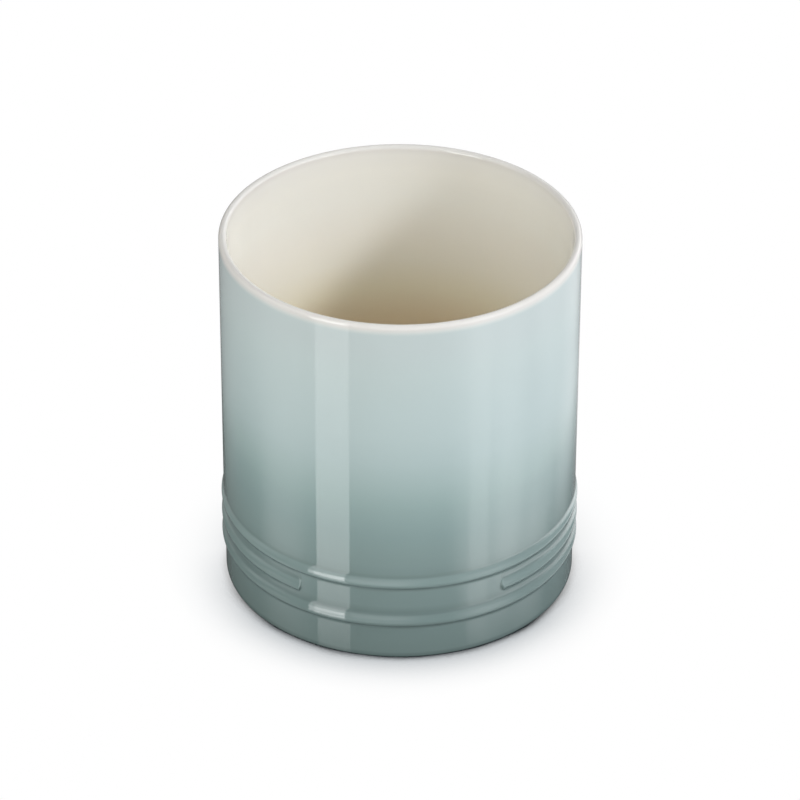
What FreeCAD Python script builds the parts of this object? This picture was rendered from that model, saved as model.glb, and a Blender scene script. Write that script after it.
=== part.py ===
import FreeCAD, Part
import math
import os

# Utensil crock in glazed stoneware, in millimetres. The foot stands on z = 0, the crock's axis is
# Z, and the plain panel between the ends of the middle ring faces -Y.

# Crock
outside_diameter = 150.0
overall_height = 162.0
rim_thickness = 3.3
wall_draft_degrees = 0.75
floor_thickness = 6.5
floor_corner_radius = 8.0

# Raised rings round the base, and the panel that breaks the middle one
ring_proud = 0.95
ring_crest_radius = 2.0
ring_upper_cove_radius = 9.0
ring_lower_cove_radius = 2.4
flat_between_rings = 1.0
panel_setback = 0.4
panel_width = 87.0
ring_end_rise = 0.2

# Plain base and foot
base_setback = 0.5
base_band_height = 14.5
foot_edge_radius = 0.8
foot_ring_width = 7.0
foot_inner_radius = 1.0
recess_depth = 2.5
recess_cove_radius = 2.8

# Glaze coats: how far below the lip's rounding the two colours meet, and where the outer coat
# stops above the table
glaze_thickness = 0.4
colour_line_drop = 0.75
glaze_stop_height = 0.25

# How far a cutting tool reaches past what it cuts
cut_overrun = 1.0

# Finished surfaces, as radii from the axis and heights above the table
wall_radius = outside_diameter / 2
panel_radius = wall_radius - panel_setback
base_radius = wall_radius - base_setback
crest_radius = wall_radius + ring_proud
lip_radius = rim_thickness / 2
lip_height = overall_height - lip_radius
colour_line_height = lip_height - colour_line_drop
floor_height = recess_depth + floor_thickness

# The clay lies this deep under a finished surface
clay_depth = glaze_thickness


def point(radius, height):
    return FreeCAD.Vector(radius, 0, height)


def around(centre, radius, angle):
    """The point at a radius and an angle, from +X towards +Z, about a centre."""
    return centre + point(radius * math.cos(angle), radius * math.sin(angle))


class Outline:
    """A pen that draws an open line in the XZ plane, of straight runs and arcs."""

    def __init__(self, radius, height):
        self.start = self.end = point(radius, height)
        self.edges = []

    def run(self, radius, height):
        corner = point(radius, height)
        self.edges.append(Part.LineSegment(self.end, corner).toShape())
        self.end = corner

    def turn(self, centre, radius, first_angle, last_angle):
        middle = around(centre, radius, (first_angle + last_angle) / 2)
        last = around(centre, radius, last_angle)
        self.edges.append(Part.Arc(around(centre, radius, first_angle), middle, last).toShape())
        self.end = last


def filled(edges):
    return Part.Face(Part.Wire(Part.__sortEdges__(edges)))


def turned(edges):
    """The solid that a closed outline makes when it is turned about the Z axis."""
    return filled(edges).revolve(FreeCAD.Vector(), FreeCAD.Vector(0, 0, 1), math.degrees(math.tau))


def joint_line(first, second):
    return Part.LineSegment(first, second).toShape()


def coat(draw):
    """The glaze between a finished surface and the clay under it, both drawn by one function."""
    finished, clay = draw(0), draw(clay_depth)
    ends = [joint_line(finished.start, clay.start), joint_line(finished.end, clay.end)]
    return turned(finished.edges + clay.edges + ends)


# Raised rings: a crest with a cove above and below it, each a tangent arc

def flank(level_radius, cove_radius):
    """The angle where crest and cove meet, and the height of the flank from a level to the crest."""
    reach = ring_crest_radius + cove_radius
    angle = math.acos(1 - (crest_radius - level_radius) / reach)
    return angle, reach * math.sin(angle)


def ring_places():
    """Each ring's crest height with the wall's radius below and above it, from the base up."""
    levels = [base_radius, panel_radius, panel_radius, wall_radius]
    places = []
    lower_end = base_band_height
    for below, above in zip(levels, levels[1:]):
        crest_height = lower_end + flank(below, ring_lower_cove_radius)[1]
        places.append((crest_height, below, above))
        lower_end = crest_height + flank(above, ring_upper_cove_radius)[1] + flat_between_rings
    return places


def draw_rings(outline, depth):
    for crest_height, below, above in ring_places():
        lower_angle, lower_rise = flank(below, ring_lower_cove_radius)
        upper_angle, upper_rise = flank(above, ring_upper_cove_radius)
        lower_cove = point(below + ring_lower_cove_radius, crest_height - lower_rise)
        crest = point(crest_radius - ring_crest_radius, crest_height)
        upper_cove = point(above + ring_upper_cove_radius, crest_height + upper_rise)
        outline.run(below - depth, crest_height - lower_rise)
        outline.turn(lower_cove, ring_lower_cove_radius + depth, math.pi, math.pi - lower_angle)
        outline.turn(crest, ring_crest_radius - depth, -lower_angle, upper_angle)
        outline.turn(upper_cove, ring_upper_cove_radius + depth, math.pi + upper_angle, math.pi)


# Lip, inside wall and floor

def draw_lining(outline, depth):
    slope = math.radians(wall_draft_degrees)
    lip = point(wall_radius - lip_radius, lip_height)
    corner_height = floor_height + floor_corner_radius
    inset = lip_radius + floor_corner_radius
    wall_length = (lip_height + inset * math.sin(slope) - corner_height) / math.cos(slope)
    corner_inset = inset * math.cos(slope) + wall_length * math.sin(slope)
    corner = point(lip.x - corner_inset, corner_height)
    corner_radius = floor_corner_radius + depth
    corner_start = around(corner, corner_radius, -slope)
    outline.run(wall_radius - depth, lip_height)
    outline.turn(lip, lip_radius - depth, 0, math.pi - slope)
    outline.run(corner_start.x, corner_start.z)
    outline.turn(corner, corner_radius, -slope, -math.pi / 2)
    outline.run(0, floor_height - depth)


# Underside: a flat bare ring to stand on, round a glazed hollow

foot_outer = base_radius - clay_depth - foot_edge_radius
foot_inner = foot_outer - foot_ring_width
clay_recess_depth = recess_depth + clay_depth
recess_reach = foot_inner_radius + recess_cove_radius
recess_angle = math.acos(1 - clay_recess_depth / recess_reach)
recess_cove_inset = recess_reach * math.sin(recess_angle)
recess_cove = point(foot_inner - recess_cove_inset, clay_recess_depth - recess_cove_radius)


def draw_recess(depth):
    outline = Outline(0, recess_depth + depth)
    cove_radius = recess_cove_radius - clay_depth + depth
    outline.run(recess_cove.x, recess_depth + depth)
    outline.turn(recess_cove, cove_radius, math.pi / 2, math.pi / 2 - recess_angle)
    return outline


def draw_foot(outline):
    inner_edge = point(foot_inner, foot_inner_radius)
    outer_edge = point(foot_outer, foot_edge_radius)
    outline.turn(inner_edge, foot_inner_radius, -math.pi / 2 - recess_angle, -math.pi / 2)
    outline.run(foot_outer, 0)
    outline.turn(outer_edge, foot_edge_radius, -math.pi / 2, 0)


# Panel: a pocket cut through the middle ring, whose ends are left round with a rounded edge

def plan(radius, angle, height):
    """A point at a radius and a height, turned from the front of the crock towards +X."""
    return FreeCAD.Vector(radius * math.sin(angle), -radius * math.cos(angle), height)


middle_crest, middle_below, middle_above = ring_places()[1]
middle_foot = middle_crest - flank(middle_below, ring_lower_cove_radius)[1]
middle_top = middle_crest + flank(middle_above, ring_upper_cove_radius)[1]
end_round_radius = (middle_top - middle_foot) / 2 + flat_between_rings


def ring_end(depth, angle):
    """A round button a little taller than the middle ring, on the panel, that the pocket spares."""
    edge_radius = crest_radius + ring_end_rise - panel_radius + clay_depth
    edge_reach = math.sqrt(edge_radius ** 2 - clay_depth ** 2)
    edge_centre = point(end_round_radius - edge_reach, -clay_depth)
    rounding = edge_radius - depth
    back = -clay_depth - cut_overrun
    outline = Outline(0, back)
    outline.run(edge_centre.x + rounding, back)
    outline.run(edge_centre.x + rounding, -clay_depth)
    outline.turn(edge_centre, rounding, 0, math.pi / 2)
    outline.run(0, rounding - clay_depth)
    outline.run(0, back)
    button = turned(outline.edges)
    outward = FreeCAD.Rotation(FreeCAD.Vector(0, 0, 1), plan(panel_radius, angle, 0))
    seat = plan(panel_radius, angle, (middle_foot + middle_top) / 2)
    button.Placement = FreeCAD.Placement(seat, outward)
    return button


def panel_pocket(depth):
    low = middle_foot - flat_between_rings / 2
    high = middle_top + flat_between_rings / 2
    end_angle = (panel_width / 2 + end_round_radius) / panel_radius
    arcs = []
    for radius in (panel_radius - depth, crest_radius + cut_overrun):
        arcs.append([plan(radius, turn, low) for turn in (-end_angle, 0, end_angle)])
    edges = [Part.Arc(*arc).toShape() for arc in arcs]
    edges += [joint_line(arcs[0][end], arcs[1][end]) for end in (0, -1)]
    pocket = filled(edges).extrude(FreeCAD.Vector(0, 0, high - low))
    for angle in (-end_angle, end_angle):
        pocket = pocket.cut(ring_end(depth, angle))
    return pocket


# Pieces

def stoneware_body():
    outline = draw_recess(clay_depth)
    draw_foot(outline)
    draw_rings(outline, clay_depth)
    draw_lining(outline, clay_depth)
    outline.run(0, clay_recess_depth)
    return turned(outline.edges).cut(panel_pocket(clay_depth))


def outer_glaze(body):
    """The outside of the crock from round the foot's edge to the colour line, less the clay."""
    core_radius = wall_radius - lip_radius
    foot_edge = point(foot_outer, foot_edge_radius)
    wrap_radius = foot_edge_radius + clay_depth
    stop_angle = math.asin((glaze_stop_height - foot_edge_radius) / wrap_radius)
    wrap_start = around(foot_edge, wrap_radius, stop_angle)
    outline = Outline(core_radius, glaze_stop_height)
    outline.run(wrap_start.x, wrap_start.z)
    outline.turn(foot_edge, wrap_radius, stop_angle, 0)
    draw_rings(outline, 0)
    outline.run(wall_radius, colour_line_height)
    outline.run(core_radius, colour_line_height)
    outline.run(core_radius, glaze_stop_height)
    return turned(outline.edges).cut(panel_pocket(0)).cut(body)


def draw_inside(depth):
    outline = Outline(wall_radius - depth, colour_line_height)
    draw_lining(outline, depth)
    return outline


body = stoneware_body()
pieces = {
    "stoneware_body": body,
    "outer_glaze": outer_glaze(body),
    "inner_glaze": coat(draw_inside),
    "underside_glaze": coat(draw_recess),
}
os.makedirs("parts", exist_ok=True)
for name, piece in pieces.items():
    piece.exportStep("parts/" + name + ".step")
    box = piece.optimalBoundingBox()
    print(name, len(piece.Solids), "solid", "valid" if piece.isValid() else "not valid",
          round(piece.Volume), "mm3, up to", round(box.ZMax, 2), "mm, across", round(box.XLength, 2))
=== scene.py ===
import math
import bpy
import numpy as np
from mathutils import Matrix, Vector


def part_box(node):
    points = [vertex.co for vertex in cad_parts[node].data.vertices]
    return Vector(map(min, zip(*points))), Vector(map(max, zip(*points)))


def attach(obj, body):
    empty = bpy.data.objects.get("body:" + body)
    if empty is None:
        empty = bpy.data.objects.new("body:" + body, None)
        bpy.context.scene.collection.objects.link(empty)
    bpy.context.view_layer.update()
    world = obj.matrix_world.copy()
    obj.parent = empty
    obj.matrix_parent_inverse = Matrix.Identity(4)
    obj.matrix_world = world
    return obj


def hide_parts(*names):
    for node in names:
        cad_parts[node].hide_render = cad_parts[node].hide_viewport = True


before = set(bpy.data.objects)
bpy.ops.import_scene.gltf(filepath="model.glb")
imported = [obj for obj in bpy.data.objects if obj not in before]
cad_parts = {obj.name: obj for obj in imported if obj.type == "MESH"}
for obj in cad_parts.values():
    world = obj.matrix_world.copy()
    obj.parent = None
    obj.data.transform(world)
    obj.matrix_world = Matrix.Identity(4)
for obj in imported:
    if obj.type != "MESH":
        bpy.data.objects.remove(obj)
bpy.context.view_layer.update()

# Glazed stoneware utensil crock, in metres. Heights are above the table, radii from the crock's axis.
mm = 0.001

# main sizes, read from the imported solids
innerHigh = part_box("inner_glaze")[1]
outerLow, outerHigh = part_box("outer_glaze")
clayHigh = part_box("stoneware_body")[1]
rimTop = innerHigh.z
wallRadius = innerHigh.x
crestRadius = outerHigh.x
colourLine = outerHigh.z          # where the two glaze colours meet under the lip
glazeStop = outerLow.z            # lower edge of the outside glaze
glazeThickness = rimTop - clayHigh.z
print("frame loaded: crock", round(rimTop / mm, 1), "mm tall,", round(2 * wallRadius / mm, 1), "mm across")

rings = dict(
    crestCurve=2.0 * mm,
    upperCove=9.0 * mm,           # hollow above a crest
    lowerCove=2.4 * mm,           # hollow under it
    flatBetween=1.0 * mm,
    panelSetback=0.4 * mm,        # plain panel and the flats between rings, behind the wall
    panelWidth=87.0 * mm,         # round the front, between the ends of the middle ring
    endNose=1.3 * mm,             # rounded edge of the middle ring's ends
    endCove=0.6 * mm,
    endBlend=0.35 * mm,           # how softly an end runs into the flanks
    baseSetback=0.5 * mm,
    baseBand=14.5 * mm,           # plain band under the lowest ring
    bandRows=8,
    rowMargin=1.0 * mm,           # close rows reach this far past the rings
    endBefore=0.9 * mm,           # close turns start this far before the middle ring's end
    endAfter=6.5 * mm,            # and stop this far past it
    panelTurns=36,
    endTurns=44,
    backTurns=100,
)
panelRadius = wallRadius - rings["panelSetback"]
baseRadius = wallRadius - rings["baseSetback"]


# a flank's two arcs meet at the angle whose cosine is one less the step over the sum of their radii,
# and the flank is that sum times the angle's sine high
def flank(level, cove):
    reach = rings["crestCurve"] + rings[cove]
    angle = math.acos(1 - (crestRadius - level) / reach)
    return angle, reach * math.sin(angle)


def ringPlaces():
    levels = [baseRadius, panelRadius, panelRadius, wallRadius]
    places = []
    foot = rings["baseBand"]
    for below, above in zip(levels, levels[1:]):
        crest = foot + flank(below, "lowerCove")[1]
        top = crest + flank(above, "upperCove")[1]
        places.append(dict(foot=foot, crest=crest, top=top, below=below, above=above))
        foot = top + rings["flatBetween"]
    return places


# radius of one ring at each height: a round crest arc, with a hollow arc on each side of it
def ringRadius(z, place):
    curve, lowCove, highCove = rings["crestCurve"], rings["lowerCove"], rings["upperCove"]
    lowEnd = -curve * math.sin(flank(place["below"], "lowerCove")[0])
    highEnd = curve * math.sin(flank(place["above"], "upperCove")[0])
    up = z - place["crest"]
    crest = crestRadius - curve + np.sqrt(np.clip(curve ** 2 - up ** 2, 0, None))
    fromFoot = np.clip(z - place["foot"], 0, lowCove)
    fromTop = np.clip(place["top"] - z, 0, highCove)
    low = place["below"] + lowCove - np.sqrt(lowCove ** 2 - fromFoot ** 2)
    high = place["above"] + highCove - np.sqrt(highCove ** 2 - fromTop ** 2)
    return np.where(up < lowEnd, low, np.where(up > highEnd, high, crest))


# the smaller of two heights, with the corner between them rounded off over a soft width
def softMin(a, b, width):
    mix = np.clip(0.5 + (b - a) / (2 * width), 0, 1)
    return b + (a - b) * mix - width * mix * (1 - mix)


# how far in from the middle ring's end a place on the wall is: seen from the front, the end is an
# arc of a circle
def insideEnd(turn, z, place):
    reach = (place["top"] - place["foot"]) / 2 + rings["flatBetween"]
    beside = np.abs(turn) * panelRadius - rings["panelWidth"] / 2 - reach
    return reach - np.hypot(np.minimum(beside, 0), z - (place["top"] + place["foot"]) / 2)


# rise of that end: a hollow arc out of the panel, then a nose arc up past the crest
def endRise(along):
    nose, cove = rings["endNose"], rings["endCove"]
    step = crestRadius - panelRadius + rings["endBlend"]
    angle = math.acos(1 - step / (nose + cove))
    joint = cove * math.sin(angle)
    length = (nose + cove) * math.sin(angle)
    hollow = cove - np.sqrt(np.clip(cove ** 2 - np.clip(along, 0, cove) ** 2, 0, None))
    toGo = np.clip(length - along, 0, nose)
    rounded = step - nose + np.sqrt(np.clip(nose ** 2 - toGo ** 2, 0, None))
    return np.where(along <= 0, 0, np.where(along < joint, hollow, rounded))


# outside radius over a grid of turns and heights: the plain levels, with the rings laid over them
def outsideRadius(turn, z):
    low, middle, high = ringPlaces()
    radius = np.where(z < low["crest"], baseRadius, np.where(z < high["crest"], panelRadius, wallRadius))
    for place in (low, high):
        inside = (z > place["foot"]) & (z < place["top"])
        radius = np.where(inside, ringRadius(z, place), radius)
    inside = (z > middle["foot"]) & (z < middle["top"])
    proud = np.where(inside, ringRadius(z, middle) - panelRadius, 0)
    ended = softMin(proud, endRise(insideEnd(turn, z, middle)), rings["endBlend"])
    return radius + np.clip(ended, 0, None)


# heights up the outside: close together where the rings curve, wide apart on the plain wall
def outsideHeights(bottom, top, fine, coarse):
    places = ringPlaces()
    margin = rings["rowMargin"]
    ringSpan = np.arange(places[0]["foot"] - margin, places[-1]["top"] + margin, fine)
    below = np.linspace(bottom, ringSpan[0], rings["bandRows"])[:-1]
    above = np.linspace(ringSpan[-1], top, int((top - ringSpan[-1]) / coarse))[1:]
    return np.concatenate([below, ringSpan, above])


# turns from the back round to the back again, zero at the front: close at the middle ring's ends
def crockTurns():
    end = rings["panelWidth"] / 2 / panelRadius
    before = end - rings["endBefore"] / panelRadius
    after = end + rings["endAfter"] / panelRadius
    half = np.concatenate([
        np.linspace(0, before, rings["panelTurns"])[:-1],
        np.linspace(before, after, rings["endTurns"])[:-1],
        np.linspace(after, math.pi, rings["backTurns"]),
    ])
    return np.concatenate([-half[::-1][:-1], half[:-1]])


turns = crockTurns()


# points at given radii and heights, turned from the front of the crock towards +X
def turned(radius, height):
    across, towardsBack = radius * np.sin(turns), -radius * np.cos(turns)
    return np.stack(np.broadcast_arrays(across, towardsBack, height), axis=-1)


# arc of a profile as rows of (radius, height), from one angle to another about a centre
def arcRows(centre, radius, first, last, count):
    angle = np.linspace(first, last, count)
    return np.stack([centre[0] + radius * np.cos(angle), centre[1] + radius * np.sin(angle)], axis=-1)


def profileGrid(rows):
    return turned(rows[:, :1], rows[:, 1:])


sharpAngle = math.radians(60)     # edges sharper than this, at the ends of the coats, stay crisp


# closed surface from a grid of rows: each row is a full turn, and the first and last rows either
# meet or close on the axis
def gridPiece(name, grid, poles):
    rowCount, columnCount = grid.shape[:2]
    index = np.arange(rowCount * columnCount).reshape(rowCount, columnCount)
    nextColumn = np.roll(index, -1, axis=1)
    if poles:
        lower, upper = slice(0, -1), slice(1, None)
        quads = np.stack([index[lower], nextColumn[lower], nextColumn[upper], index[upper]], axis=-1)
    else:
        above, nextAbove = np.roll(index, -1, axis=0), np.roll(nextColumn, -1, axis=0)
        quads = np.stack([index, nextColumn, nextAbove, above], axis=-1)
    vertices = grid.reshape(-1, 3)
    faces = quads.reshape(-1, 4).tolist()
    if poles:
        first, last = len(vertices), len(vertices) + 1
        ends = grid[[0, -1]].mean(axis=1) * np.array([0, 0, 1])
        vertices = np.concatenate([vertices, ends])
        startFan = np.stack([nextColumn[0], index[0], np.full(columnCount, first)], axis=-1)
        endFan = np.stack([index[-1], nextColumn[-1], np.full(columnCount, last)], axis=-1)
        faces += startFan.tolist() + endFan.tolist()
    mesh = bpy.data.meshes.new(name)
    mesh.from_pydata(vertices, [], faces)
    mesh.shade_smooth()
    mesh.set_sharp_from_angle(angle=sharpAngle)
    piece = bpy.data.objects.new(name, mesh)
    bpy.context.scene.collection.objects.link(piece)
    print("made", name, "with", len(faces), "faces")
    return piece


# inside of the crock, from the lip to the axis
lining = dict(
    rimThickness=3.3 * mm,
    draft=math.radians(0.75),
    floorCorner=8.0 * mm,
    floorHeight=9.0 * mm,
    lipRows=22,
    wallRows=26,
    cornerRows=12,
    floorRows=9,
)


# at a depth under the finished glaze: lip arc, then the wall's straight slope tangent to it, then
# the floor's corner arc, then the floor
def liningRows(depth):
    lip = lining["rimThickness"] / 2
    slope, corner = lining["draft"], lining["floorCorner"]
    lipCentre = (wallRadius - lip, rimTop - lip)
    cornerHeight = lining["floorHeight"] + corner
    inset = lip + corner
    length = (lipCentre[1] + inset * math.sin(slope) - cornerHeight) / math.cos(slope)
    cornerCentre = (lipCentre[0] - inset * math.cos(slope) - length * math.sin(slope), cornerHeight)
    lipArc = arcRows(lipCentre, lip - depth, 0, math.pi - slope, lining["lipRows"])
    cornerArc = arcRows(cornerCentre, corner + depth, -slope, -math.pi / 2, lining["cornerRows"])
    wall = np.linspace(lipArc[-1], cornerArc[0], lining["wallRows"])[1:-1]
    centre = np.array([0.0, lining["floorHeight"] - depth])
    floor = np.linspace(cornerArc[-1], centre, lining["floorRows"])[1:-1]
    return np.concatenate([lipArc, wall, cornerArc, floor])


# underside: foot ring with rounded edges round a shallow hollow
foot = dict(
    outerEdge=0.8 * mm,
    ringWidth=7.0 * mm,
    innerEdge=1.0 * mm,
    recessCove=2.8 * mm,
    recessDepth=2.5 * mm,
    edgeRows=7,
    coveRows=9,
    hollowRows=9,
)
footOuter = baseRadius - glazeThickness - foot["outerEdge"]
footInner = footOuter - foot["ringWidth"]
clayRecess = foot["recessDepth"] + glazeThickness
recessReach = foot["innerEdge"] + foot["recessCove"]
recessAngle = math.acos(1 - clayRecess / recessReach)
recessCentre = (footInner - recessReach * math.sin(recessAngle), clayRecess - foot["recessCove"])


# hollow from near the axis to where the foot's edge begins, at a depth under its glaze: a flat,
# then a cove arc
def recessRows(depth):
    cove = foot["recessCove"] - glazeThickness + depth
    arc = arcRows(recessCentre, cove, math.pi / 2, math.pi / 2 - recessAngle, foot["coveRows"])
    flat = np.linspace(np.array([0.0, arc[0, 1]]), arc[0], foot["hollowRows"])[1:-1]
    return np.concatenate([flat, arc])


def footRows():
    innerEdge, outerEdge, rows = foot["innerEdge"], foot["outerEdge"], foot["edgeRows"]
    down = -math.pi / 2
    inner = arcRows((footInner, innerEdge), innerEdge, down - recessAngle, down, rows)
    outer = arcRows((footOuter, outerEdge), outerEdge, down, 0, rows)
    return np.concatenate([inner[1:], outer])


# outside surface at a depth under the finished glaze, as a grid of rows going up
def outsideGrid(heights, depth):
    z = heights[:, None]
    return turned(outsideRadius(turns, z) - depth, z)


coat = dict(
    rowStep=0.2 * mm,             # between rows over the rings
    wallStep=4.0 * mm,            # between rows up the plain wall
    backStep=0.8 * mm,            # the same two at the clay
    backWallStep=8.0 * mm,
    edgeRows=5,                   # rows round the foot's edge
    wrapShade=(1.2, 0.8),          # painted shade round that edge where the crock meets the table, from the bottom up
    beadShade=0.6,                 # painted shade just above it
    footShadeFall=0.2 * mm,            # height over which that painted shade falls away there
    poolAndShadeBend=2.0 * mm,            # radius of a bend that gathers the glaze and its painted shade fully
    runDown=np.array([0.0, 0.5, 1.0, 1.5, 2.0, 2.5]) * mm,
)


# how far the glaze gathers: above zero in hollows, where it also paints the shade under each ring, and
# below it on crests, where it also paints a highlight; from the profile's bend over a short way under each
# height, as the glaze runs down
def glazePoolAndShade(heights):
    gatheredAndShaded = 0
    for runDown in coat["runDown"]:
        radius = outsideRadius(turns, heights[:, None] - runDown)
        slope = np.gradient(radius, heights, axis=0)
        gatheredAndShaded = gatheredAndShaded + np.tanh(np.gradient(slope, heights, axis=0) * coat["poolAndShadeBend"])
    return gatheredAndShaded / len(coat["runDown"])


# up the outside from where the glaze stops on the foot's edge, then back down the clay
def outerGlazePiece():
    clayEdge = foot["outerEdge"]
    wrapEdge = clayEdge + glazeThickness
    edge = (footOuter, clayEdge)
    drop = clayEdge - glazeStop
    wrap = arcRows(edge, wrapEdge, -math.asin(drop / wrapEdge), 0, coat["edgeRows"])[:-1]
    under = arcRows(edge, clayEdge, 0, -math.asin(drop / clayEdge), coat["edgeRows"])[1:]
    front = outsideHeights(clayEdge, colourLine, coat["rowStep"], coat["wallStep"])
    back = outsideHeights(clayEdge, colourLine, coat["backStep"], coat["backWallStep"])[::-1]
    frontGrid = np.concatenate([profileGrid(wrap), outsideGrid(front, 0)])
    grid = np.concatenate([frontGrid, outsideGrid(back, glazeThickness), profileGrid(under)])
    piece = gridPiece("outerGlaze", grid, poles=False)
    poolAndShade = np.zeros(grid.shape[:2])
    # painted shade round the foot's edge and just above it, where the crock meets the table
    footShade = coat["beadShade"] * np.exp((clayEdge - front) / coat["footShadeFall"])[:, None]
    poolAndShade[:len(wrap)] = np.linspace(*coat["wrapShade"], len(wrap))[:, None]
    poolAndShade[len(wrap):len(frontGrid)] = np.maximum(glazePoolAndShade(front), footShade)
    piece.data.attributes.new("poolAndShade", "FLOAT", "POINT").data.foreach_set("value", poolAndShade.ravel())
    return piece


# up the clay from the axis to the colour line, then back over the lip and down to the floor
def innerGlazePiece():
    line = np.array([[wallRadius, colourLine]])
    under = np.array([[wallRadius - glazeThickness, colourLine]])
    clay = np.concatenate([under, liningRows(glazeThickness)])[::-1]
    finished = np.concatenate([line, liningRows(0)])
    return gridPiece("innerGlaze", profileGrid(np.concatenate([clay, finished])), poles=True)


clayBody = dict(
    rowStep=0.5 * mm,             # between rows over the rings
    wallStep=8.0 * mm,            # between rows up the plain wall
)


# from the axis out over the underside, up the outside, over the lip and down to the floor
def stonewarePiece():
    lipHeight = rimTop - lining["rimThickness"] / 2
    heights = outsideHeights(foot["outerEdge"], lipHeight, clayBody["rowStep"], clayBody["wallStep"])[1:-1]
    underside = np.concatenate([recessRows(glazeThickness), footRows()])
    grid = np.concatenate([
        profileGrid(underside),
        outsideGrid(heights, glazeThickness),
        profileGrid(liningRows(glazeThickness)),
    ])
    return gridPiece("stonewareBody", grid, poles=True)


# out over the hollow's finished glaze, then back along the clay
def undersideGlazePiece():
    rows = np.concatenate([recessRows(0), recessRows(glazeThickness)[::-1]])
    return gridPiece("undersideGlaze", profileGrid(rows), poles=True)


outerGlaze = outerGlazePiece()
innerGlaze = innerGlazePiece()
stonewareBody = stonewarePiece()
undersideGlaze = undersideGlazePiece()


# node helpers: a node takes values or links for its inputs, and most helpers return one output
def addNode(tree, kind, inputs=None, **settings):
    node = tree.nodes.new(kind)
    for key, value in settings.items():
        setattr(node, key, value)
    for key, value in (inputs or {}).items():
        if isinstance(value, bpy.types.NodeSocket):
            tree.links.new(value, node.inputs[key])
        else:
            node.inputs[key].default_value = value
    return node


def addMath(tree, operation, *values):
    return addNode(tree, "ShaderNodeMath", dict(enumerate(values)), operation=operation).outputs[0]


# how far a value has come from a start to an end, from 0 to 1
def shareBetween(tree, value, start, end, interpolation="LINEAR"):
    return addNode(tree, "ShaderNodeMapRange", {"Value": value, "From Min": start, "From Max": end},
                   interpolation_type=interpolation).outputs[0]


def noise(tree, place, scale, detail):
    return addNode(tree, "ShaderNodeTexNoise", {
        "Vector": place, "Scale": scale, "Detail": detail}).outputs[0]


def mixColour(tree, factor, first, second, blend="MIX"):
    return addNode(tree, "ShaderNodeMix", {0: factor, 6: first, 7: second},
                   data_type="RGBA", blend_type=blend).outputs[2]


def mixShader(tree, factor, first, second):
    return addNode(tree, "ShaderNodeMixShader", {0: factor, 1: first, 2: second}).outputs[0]


def opaque(colour):
    return (*colour, 1.0)


def colourRamp(tree, factor, stops):
    ramp = addNode(tree, "ShaderNodeValToRGB", {0: factor})
    elements = ramp.color_ramp.elements
    while len(elements) < len(stops):
        elements.new(0.5)
    for element, (position, colour) in zip(elements, stops):
        element.position = position
        element.color = opaque(colour)
    return ramp.outputs[0]


def objectPlace(tree):
    return addNode(tree, "ShaderNodeTexCoord").outputs["Object"]


def splitAxes(tree, place):
    return addNode(tree, "ShaderNodeSeparateXYZ", {0: place}).outputs


def distanceOut(tree, place):
    return addNode(tree, "ShaderNodeVectorMath", {0: place}, operation="LENGTH").outputs["Value"]


def newMaterial(name):
    material = bpy.data.materials.new(name)
    material.use_nodes = True
    material.node_tree.nodes.clear()
    return material, material.node_tree


def showShader(tree, shader):
    addNode(tree, "ShaderNodeOutputMaterial", {"Surface": shader})


# node groups shared by the finishes
def newGroup(name, inputs, outputs):
    tree = bpy.data.node_groups.new(name, "ShaderNodeTree")
    for socket in inputs:
        tree.interface.new_socket(socket, in_out="INPUT", socket_type="NodeSocketFloat")
    for socket in outputs:
        tree.interface.new_socket(socket, in_out="OUTPUT", socket_type="NodeSocketFloat")
    return tree, tree.nodes.new("NodeGroupInput").outputs


def closeGroup(tree, outputs):
    addNode(tree, "NodeGroupOutput", outputs)
    return tree


def placeGroup(tree, group, values):
    return addNode(tree, "ShaderNodeGroup", values, node_tree=group).outputs


glazeTexture = dict(
    cloudDetail=3.0,
    unevenScale=700.0,
    unevenDetail=2.0,
    unevenDepth=0.03,
    rippleScale=55.0,
    rippleDetail=1.0,
)


# fired glaze: slow clouds in its tone, fine unevenness in its gloss, a faint ripple in its surface
def makeFiredGlaze():
    tree, value = newGroup("firedGlaze", ["Cloud Scale", "Cloud Depth", "Gloss"],
                           ["Tone", "Roughness", "Ripple"])
    place = objectPlace(tree)
    cloud = noise(tree, place, value["Cloud Scale"], glazeTexture["cloudDetail"])
    tone = addMath(tree, "MULTIPLY_ADD", addMath(tree, "SUBTRACT", cloud, 0.5), value["Cloud Depth"], 1.0)
    uneven = noise(tree, place, glazeTexture["unevenScale"], glazeTexture["unevenDetail"])
    roughness = addMath(tree, "MULTIPLY_ADD", uneven, glazeTexture["unevenDepth"], value["Gloss"])
    ripple = noise(tree, place, glazeTexture["rippleScale"], glazeTexture["rippleDetail"])
    return closeGroup(tree, {"Tone": tone, "Roughness": roughness, "Ripple": ripple})


meeting = dict(
    fade=1.8 * mm,                # half of the height over which one colour turns into the other
    runOver=0.5 * mm,             # how far the cream runs down past the line
    wander=0.5 * mm,
    wanderScale=30.0,
    wanderDetail=1.0,
)


# meeting of the two glazes: cream above the line and all over the inside, with a soft wandering edge
def makeColourMeeting():
    tree, value = newGroup("colourMeeting", ["Line", "Fade", "Wander", "Inside"], ["Cream"])
    place = objectPlace(tree)
    axis = splitAxes(tree, place)
    drift = noise(tree, place, meeting["wanderScale"], meeting["wanderDetail"])
    drift = addMath(tree, "SUBTRACT", drift, 0.5)
    height = addMath(tree, "MULTIPLY_ADD", drift, value["Wander"], axis["Z"])
    start = addMath(tree, "SUBTRACT", value["Line"], value["Fade"])
    end = addMath(tree, "ADD", value["Line"], value["Fade"])
    above = shareBetween(tree, height, start, end, "SMOOTHSTEP")
    across = addNode(tree, "ShaderNodeCombineXYZ", {"X": axis["X"], "Y": axis["Y"]}).outputs[0]
    inside = addMath(tree, "LESS_THAN", distanceOut(tree, across), value["Inside"])
    return closeGroup(tree, {"Cream": addMath(tree, "MAXIMUM", above, inside)})


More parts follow.
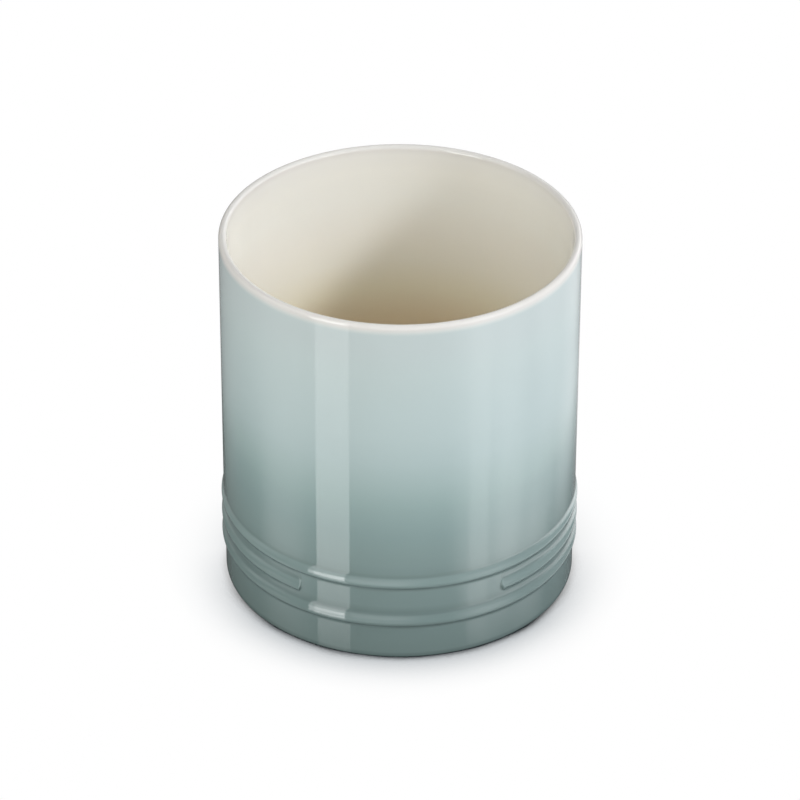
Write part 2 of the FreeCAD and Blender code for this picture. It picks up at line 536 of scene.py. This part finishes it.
clayTexture = dict(
    speckEdge=(0.12, 0.30),
    patchScale=420.0,
    patchDetail=1.0,
    patchEdge=(0.42, 0.56),
    cloudScale=60.0,
    cloudDetail=3.0,
    cloudDepth=0.16,
    cloudLow=0.92,
    pitScale=1500.0,
    pitDetail=4.0,
)


# fired clay: grains of darker grit in patches, slow clouds in its tone, and a pitted surface
def makeClayGrain():
    tree, value = newGroup("clayGrain", ["Grit Scale", "Grit Depth"], ["Tone", "Grain"])
    place = objectPlace(tree)
    grit = addNode(tree, "ShaderNodeTexVoronoi", {"Vector": place, "Scale": value["Grit Scale"]})
    speck = shareBetween(tree, grit.outputs["Distance"], *clayTexture["speckEdge"])
    patch = noise(tree, place, clayTexture["patchScale"], clayTexture["patchDetail"])
    hidden = shareBetween(tree, patch, *clayTexture["patchEdge"])
    loss = addMath(tree, "SUBTRACT", addMath(tree, "MAXIMUM", speck, hidden), 1.0)
    cloud = noise(tree, place, clayTexture["cloudScale"], clayTexture["cloudDetail"])
    cloud = addMath(tree, "MULTIPLY_ADD", cloud, clayTexture["cloudDepth"], clayTexture["cloudLow"])
    tone = addMath(tree, "MULTIPLY_ADD", loss, value["Grit Depth"], cloud)
    grain = noise(tree, place, clayTexture["pitScale"], clayTexture["pitDetail"])
    return closeGroup(tree, {"Tone": tone, "Grain": grain})


firedGlaze = makeFiredGlaze()
colourMeeting = makeColourMeeting()
clayGrain = makeClayGrain()
print("node groups made")

greenFinish = dict(
    # colours up the outside, each with its share of the crock's height
    stops=[
        (0.000, (0.139, 0.192, 0.184)),
        (0.042, (0.149, 0.205, 0.195)),
        (0.090, (0.158, 0.217, 0.208)),
        (0.250, (0.206, 0.279, 0.268)),
        (0.303, (0.217, 0.294, 0.282)),
        (0.376, (0.239, 0.326, 0.316)),
        (0.450, (0.282, 0.379, 0.366)),
        (0.525, (0.353, 0.455, 0.441)),
        (0.600, (0.418, 0.518, 0.509)),
        (0.674, (0.457, 0.554, 0.545)),
        (0.748, (0.477, 0.571, 0.561)),
        (0.859, (0.501, 0.587, 0.573)),
        (0.931, (0.510, 0.583, 0.572)),
    ],
    thinAndHighlit=(0.38, 0.47, 0.45),      # where the glaze runs thin over a crest, with a painted highlight along the crest
    thinAndHighlitAmount=0.22,
    pooledAndShaded=(0.075, 0.106, 0.101),  # where it gathers in a hollow, with painted shade under each ring and at the foot
    gloss=0.03,
    cloudScale=28.0,
    cloudDepth=0.04,
    ripple=0.02,
)
creamFinish = dict(
    # colours up the inside and over the lip, by the same shares: a cream glaze, tan and darker low down as
    # painted shade of the deep inside
    stops=[
        (0.050, (0.780, 0.680, 0.500)),
        (0.400, (0.780, 0.660, 0.460)),
        (0.480, (0.820, 0.705, 0.515)),
        (0.570, (0.875, 0.825, 0.655)),
        (0.660, (0.893, 0.868, 0.760)),
        (0.750, (0.893, 0.872, 0.790)),
        (0.850, (0.873, 0.866, 0.798)),
        (0.930, (0.838, 0.828, 0.762)),
        (0.975, (0.780, 0.770, 0.718)),
        (0.992, (0.700, 0.685, 0.645)),
    ],
    gloss=0.05,
    cloudScale=22.0,
    cloudDepth=0.03,
    ripple=0.02,
)
clayFinish = dict(
    colour=(0.62, 0.55, 0.46),
    gritScale=650.0,
    gritDepth=0.35,
    roughness=0.78,
    grain=0.25,
    grainDepth=0.2 * mm,
)
clearFinish = dict(
    colour=(0.70, 0.63, 0.52),    # of the clay seen through it
    gritScale=650.0,
    gritDepth=0.25,
    gloss=0.06,
    cloudScale=30.0,
    cloudDepth=0.05,
    ripple=0.03,
)
glazeIor = 1.6
rippleDepth = 1.0 * mm


# green and cream by height, and the mask that is cream past the colour line
def crockColour(tree):
    share = addMath(tree, "DIVIDE", splitAxes(tree, objectPlace(tree))["Z"], rimTop)
    green = colourRamp(tree, share, greenFinish["stops"])
    # the cream by height holds painted shade of the deep inside, tan and darker low down
    cream = colourRamp(tree, share, creamFinish["stops"])
    past = placeGroup(tree, colourMeeting, {
        "Line": colourLine - meeting["runOver"],
        "Fade": meeting["fade"],
        "Wander": meeting["wander"],
        "Inside": wallRadius - lining["rimThickness"] / 2,
    })["Cream"]
    return green, cream, past


def placeGlaze(tree, finish):
    return placeGroup(tree, firedGlaze, {
        "Cloud Scale": finish["cloudScale"],
        "Cloud Depth": finish["cloudDepth"],
        "Gloss": finish["gloss"],
    })


def placeClay(tree, finish):
    return placeGroup(tree, clayGrain, {
        "Grit Scale": finish["gritScale"],
        "Grit Depth": finish["gritDepth"],
    })


def toned(tree, colour, tone):
    return mixColour(tree, 1.0, colour, tone, "MULTIPLY")


def bumped(tree, height, strength, depth):
    return addNode(tree, "ShaderNodeBump", {
        "Height": height, "Strength": strength, "Distance": depth}).outputs[0]


def showGlaze(tree, colour, glaze, finish):
    showShader(tree, addNode(tree, "ShaderNodeBsdfPrincipled", {
        "Base Color": colour,
        "Roughness": glaze["Roughness"],
        "Normal": bumped(tree, glaze["Ripple"], finish["ripple"], rippleDepth),
        "IOR": glazeIor,
    }).outputs[0])


def makeGreenGlaze():
    material, tree = newMaterial("greenGlaze")
    green, cream, past = crockColour(tree)
    glaze = placeGlaze(tree, greenFinish)
    poolAndShade = addNode(tree, "ShaderNodeAttribute", attribute_name="poolAndShade").outputs["Fac"]
    # painted shade: the hollows under the rings and round the foot go darker, partly real pooled glaze and
    # partly shade
    gatheredAndShaded = addMath(tree, "MAXIMUM", poolAndShade, 0.0)
    # painted highlight: the crests go lighter, partly real thin glaze and partly a highlight
    thinnedAndHighlit = addMath(tree, "MAXIMUM", addMath(tree, "MULTIPLY", poolAndShade, -greenFinish["thinAndHighlitAmount"]), 0.0)
    colour = mixColour(tree, gatheredAndShaded, green, opaque(greenFinish["pooledAndShaded"]))
    colour = mixColour(tree, thinnedAndHighlit, colour, opaque(greenFinish["thinAndHighlit"]))
    colour = mixColour(tree, past, toned(tree, colour, glaze["Tone"]), cream)
    showGlaze(tree, colour, glaze, greenFinish)
    return material


def makeCreamGlaze():
    material, tree = newMaterial("creamGlaze")
    green, cream, past = crockColour(tree)
    glaze = placeGlaze(tree, creamFinish)
    colour = mixColour(tree, past, green, toned(tree, cream, glaze["Tone"]))
    showGlaze(tree, colour, glaze, creamFinish)
    return material


def makeBareClay():
    material, tree = newMaterial("bareClay")
    clay = placeClay(tree, clayFinish)
    showShader(tree, addNode(tree, "ShaderNodeBsdfPrincipled", {
        "Base Color": toned(tree, opaque(clayFinish["colour"]), clay["Tone"]),
        "Roughness": clayFinish["roughness"],
        "Normal": bumped(tree, clay["Grain"], clayFinish["grain"], clayFinish["grainDepth"]),
    }).outputs[0])
    return material


def makeClearGlaze():
    material, tree = newMaterial("clearGlaze")
    clay = placeClay(tree, clearFinish)
    glaze = placeGlaze(tree, clearFinish)
    colour = toned(tree, opaque(clearFinish["colour"]), clay["Tone"])
    showGlaze(tree, toned(tree, colour, glaze["Tone"]), glaze, clearFinish)
    return material


finishes = [
    (outerGlaze, makeGreenGlaze(), "outer_glaze", "green_glaze"),
    (innerGlaze, makeCreamGlaze(), "inner_glaze", "cream_glaze"),
    (stonewareBody, makeBareClay(), "stoneware_body", "bare_stoneware"),
    (undersideGlaze, makeClearGlaze(), "underside_glaze", "clear_glaze"),
]
for piece, material, node, slotName in finishes:
    piece.data.materials.append(material)
    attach(piece, "root")
    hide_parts(node)
print("pieces finished:", ", ".join(piece.name for piece, *_ in finishes))

# pale table: white to the camera with the shadow that gathers round the foot, polished to glossy rays
table = dict(
    halfWidth=4.0,
    body=(0.60, 0.60, 0.60),
    polished=(0.20, 0.20, 0.20),
    polishRoughness=0.02,
    polishIor=1.5,
    # share of light that the polish throws back, by distance from the crock's axis
    polishStops=[
        (0.078, 0.22),
        (0.095, 0.46),
        (0.140, 0.85),
        (0.180, 0.80),
        (0.225, 0.43),
        (0.320, 0.39),
    ],
    shadowReach=35 * mm,
    shadowSamples=16,
    shadowSpan=(-52 * mm, 6 * mm),    # the shadow fades from front to back
    shadowShare=(1.0, 0.30),
    # the shadow's colour, by how open the table is there
    shadowStops=[
        (0.500, (0.015, 0.020, 0.022)),
        (0.540, (0.370, 0.400, 0.415)),
        (0.565, (0.550, 0.575, 0.595)),
        (0.630, (0.655, 0.675, 0.690)),
        (0.700, (0.775, 0.790, 0.800)),
        (0.770, (0.875, 0.885, 0.890)),
        (0.820, (0.935, 0.940, 0.945)),
        (0.920, (1.000, 1.000, 1.000)),
    ],
)
white = (1.0, 1.0, 1.0)


def tableShadow(tree, place):
    openness = addNode(tree, "ShaderNodeAmbientOcclusion", {"Distance": table["shadowReach"]},
                       samples=table["shadowSamples"]).outputs["AO"]
    shadow = colourRamp(tree, openness, table["shadowStops"])
    (near, far), (full, faint) = table["shadowSpan"], table["shadowShare"]
    kept = addNode(tree, "ShaderNodeMapRange", {
        "Value": splitAxes(tree, place)["Y"],
        "From Min": near,
        "From Max": far,
        "To Min": full,
        "To Max": faint,
    }).outputs[0]
    return mixColour(tree, kept, opaque(white), shadow)


def tablePolish(tree, place):
    dull = addNode(tree, "ShaderNodeBsdfDiffuse", {"Color": opaque(table["polished"])}).outputs[0]
    mirror = addNode(tree, "ShaderNodeBsdfGlossy", {"Roughness": table["polishRoughness"]}).outputs[0]
    stops = [(distance, (level, level, level)) for distance, level in table["polishStops"]]
    share = colourRamp(tree, distanceOut(tree, place), stops)
    grazing = addNode(tree, "ShaderNodeFresnel", {"IOR": table["polishIor"]}).outputs[0]
    return mixShader(tree, addMath(tree, "MAXIMUM", share, grazing), dull, mirror)


def makePaleTable():
    material, tree = newMaterial("paleTable")
    place = objectPlace(tree)
    light = addNode(tree, "ShaderNodeLightPath").outputs
    seen = addMath(tree, "MAXIMUM", light["Is Camera Ray"], light["Is Transmission Ray"])
    shown = addNode(tree, "ShaderNodeEmission", {"Color": tableShadow(tree, place)}).outputs[0]
    body = addNode(tree, "ShaderNodeBsdfDiffuse", {"Color": opaque(table["body"])}).outputs[0]
    lit = mixShader(tree, light["Is Glossy Ray"], body, tablePolish(tree, place))
    above = mixShader(tree, seen, lit, shown)
    clear = addNode(tree, "ShaderNodeBsdfTransparent").outputs[0]
    below = addNode(tree, "ShaderNodeNewGeometry").outputs["Backfacing"]
    showShader(tree, mixShader(tree, below, above, clear))
    return material


def placeTable():
    half = table["halfWidth"]
    mesh = bpy.data.meshes.new("table")
    corners = np.array([[-half, -half, 0], [half, -half, 0], [half, half, 0], [-half, half, 0]])
    mesh.from_pydata(corners, [], [(0, 1, 2, 3)])
    mesh.materials.append(makePaleTable())
    piece = bpy.data.objects.new("table", mesh)
    bpy.context.scene.collection.objects.link(piece)


placeTable()

# Soft boxes, by their azimuth in degrees from the front towards the right. They stand on edge round
# the crock, at the usual distance unless a box has its own, from a low to a high height. Each is soft
# over a share of its width and of its height.
usualDistance = 1.7

# lamps that light the crock and show in the glaze: a tall strip on the left, wide boxes on the right
# and at the back, a fill at the far left and a low one in front
lamps = dict(
    strip=dict(azimuth=-43.8, distance=1.6, low=-0.1, high=1.6, width=0.65, radiance=3.3,
               soft=(0.02, 0.05)),
    stripFoot=dict(azimuth=-41.8, distance=1.58, low=-0.5, high=0.5, width=0.54, radiance=2.5,
                   soft=(0.03, 0.3)),
    rightLow=dict(azimuth=58.0, low=0.65, high=1.3, width=2.2, radiance=2.42, soft=(0.45, 0.25)),
    rightHigh=dict(azimuth=58.0, low=1.2, high=2.2, width=1.6, radiance=1.49, soft=(0.3, 0.25)),
    rear=dict(azimuth=126.0, low=0.3, high=1.2, width=3.0, radiance=2.08, soft=(0.45, 0.35)),
    behind=dict(azimuth=160.0, low=0.3, high=1.2, width=2.6, radiance=0.85, soft=(0.45, 0.35)),
    rearLeft=dict(azimuth=-145.0, low=0.3, high=1.2, width=3.0, radiance=0.42, soft=(0.45, 0.35)),
    fill=dict(azimuth=-80.0, low=0.6, high=2.4, width=1.6, radiance=1.45, soft=(0.45, 0.4)),
    frontLow=dict(azimuth=-14.0, distance=1.9, low=-0.8, high=0.8, width=2.4, radiance=1.1,
                  soft=(0.4, 0.35)),
)
# lamps that light the crock without showing in the glaze: a wide one in front, a small cool key
hiddenLamps = dict(
    front=dict(azimuth=-3.0, low=1.2, high=2.8, width=1.4, radiance=2.6, soft=(0.45, 0.35)),
    key=dict(azimuth=70.0, low=1.0, high=1.5, width=0.7, radiance=43.0, soft=(0.3, 0.3),
             tint=(0.98, 1.0, 1.09)),
)
# cards that show in the glaze without lighting the crock, beside and below the lamps
cards = dict(
    sideLow=dict(azimuth=88.0, low=0.65, high=1.3, width=2.2, radiance=2.1, soft=(0.45, 0.25)),
    edgeCard=dict(azimuth=51.0, low=0.65, high=1.3, width=0.56, radiance=0.9, soft=(0.25, 0.25)),
    rightCard=dict(azimuth=52.0, low=-0.7, high=0.95, width=1.6, radiance=1.4, soft=(0.45, 0.2)),
    sideCard=dict(azimuth=88.0, low=-0.7, high=0.95, width=2.2, radiance=0.4, soft=(0.45, 0.2)),
    rearCard=dict(azimuth=126.0, low=-0.7, high=0.62, width=2.6, radiance=0.9, soft=(0.45, 0.2)),
    leftCard=dict(azimuth=-88.0, low=0.05, high=0.75, width=2.0, radiance=0.9, soft=(0.45, 0.3)),
)


# share of full brightness over a box: it falls to nothing towards each edge
def softEdges(tree, soft):
    axis = splitAxes(tree, addNode(tree, "ShaderNodeNewGeometry").outputs["Parametric"])
    level = 1.0
    for key, share in zip("XY", soft):
        fromMiddle = addMath(tree, "ABSOLUTE", addMath(tree, "SUBTRACT", axis[key], 0.5))
        edge = shareBetween(tree, fromMiddle, 0.5, 0.5 - share, "SMOOTHSTEP")
        level = addMath(tree, "MULTIPLY", edge, level)
    return level


# a soft box facing the crock's axis, unseen by the camera
def softBox(name, box):
    height = box["high"] - box["low"]
    lamp = bpy.data.lights.new(name, "AREA")
    lamp.shape = "RECTANGLE"
    lamp.size = box["width"]
    lamp.size_y = height
    lamp.energy = box["radiance"] * math.pi * box["width"] * height
    lamp.color = box.get("tint", white)
    lamp.use_nodes = True
    tree = lamp.node_tree
    tree.nodes.clear()
    shine = addNode(tree, "ShaderNodeEmission", {"Strength": softEdges(tree, box["soft"])})
    addNode(tree, "ShaderNodeOutputLight", {0: shine.outputs[0]})
    piece = bpy.data.objects.new(name, lamp)
    turn = math.radians(box["azimuth"])
    away = box.get("distance", usualDistance)
    piece.location = (away * math.sin(turn), -away * math.cos(turn), box["low"] + height / 2)
    piece.rotation_euler = (math.pi / 2, 0, turn)
    piece.visible_camera = False
    bpy.context.scene.collection.objects.link(piece)
    return piece


# soft even surround: one level as light, another in the glaze, white behind the crock
room = dict(surround=0.53, inGloss=0.02, backdrop=1.0)


def makeSurround():
    world = bpy.data.worlds.new("studio")
    world.use_nodes = True
    tree = world.node_tree
    tree.nodes.clear()
    light = addNode(tree, "ShaderNodeLightPath").outputs
    seen = addMath(tree, "MAXIMUM", light["Is Camera Ray"], light["Is Transmission Ray"])
    level = addNode(tree, "ShaderNodeMix", {
        0: light["Is Glossy Ray"], 2: room["surround"], 3: room["inGloss"]}).outputs[0]
    level = addNode(tree, "ShaderNodeMix", {0: seen, 2: level, 3: room["backdrop"]}).outputs[0]
    glow = addNode(tree, "ShaderNodeBackground", {"Strength": level})
    addNode(tree, "ShaderNodeOutputWorld", {"Surface": glow.outputs[0]})
    bpy.context.scene.world = world


for name, box in lamps.items():
    softBox(name, box)
for name, box in hiddenLamps.items():
    softBox(name, box).visible_glossy = False
for name, box in cards.items():
    softBox(name, box).visible_diffuse = False
makeSurround()
print("table and lights placed")

# camera fitted to the rim, the rings and the foot: angles in degrees, aimed at a height on the axis
view = dict(
    azimuth=-0.85,
    elevation=32.58,
    roll=0.208,
    distance=1.8405,
    aim=79.80 * mm,
    lens=196.34,
    sensor=36.0,
    aside=0.0003,                 # sideways shift, as a share of the picture
    reach=100.0,
)


def placeCamera():
    camera = bpy.data.cameras.new("camera")
    camera.lens = view["lens"]
    camera.sensor_width = view["sensor"]
    camera.shift_x = view["aside"]
    camera.clip_end = view["reach"]
    turn, tilt = math.radians(view["azimuth"]), math.radians(view["elevation"])
    facing = Matrix.Rotation(turn, 4, "Z") @ Matrix.Rotation(math.pi / 2 - tilt, 4, "X")
    away = Matrix.Translation((0, 0, view["distance"]))
    rolled = Matrix.Rotation(math.radians(view["roll"]), 4, "Z")
    piece = bpy.data.objects.new("camera", camera)
    piece.matrix_world = Matrix.Translation((0, 0, view["aim"])) @ facing @ away @ rolled
    bpy.context.scene.collection.objects.link(piece)
    bpy.context.scene.camera = piece


placeCamera()
bpy.context.scene.view_settings.view_transform = "Standard"

bpy.context.view_layer.update()
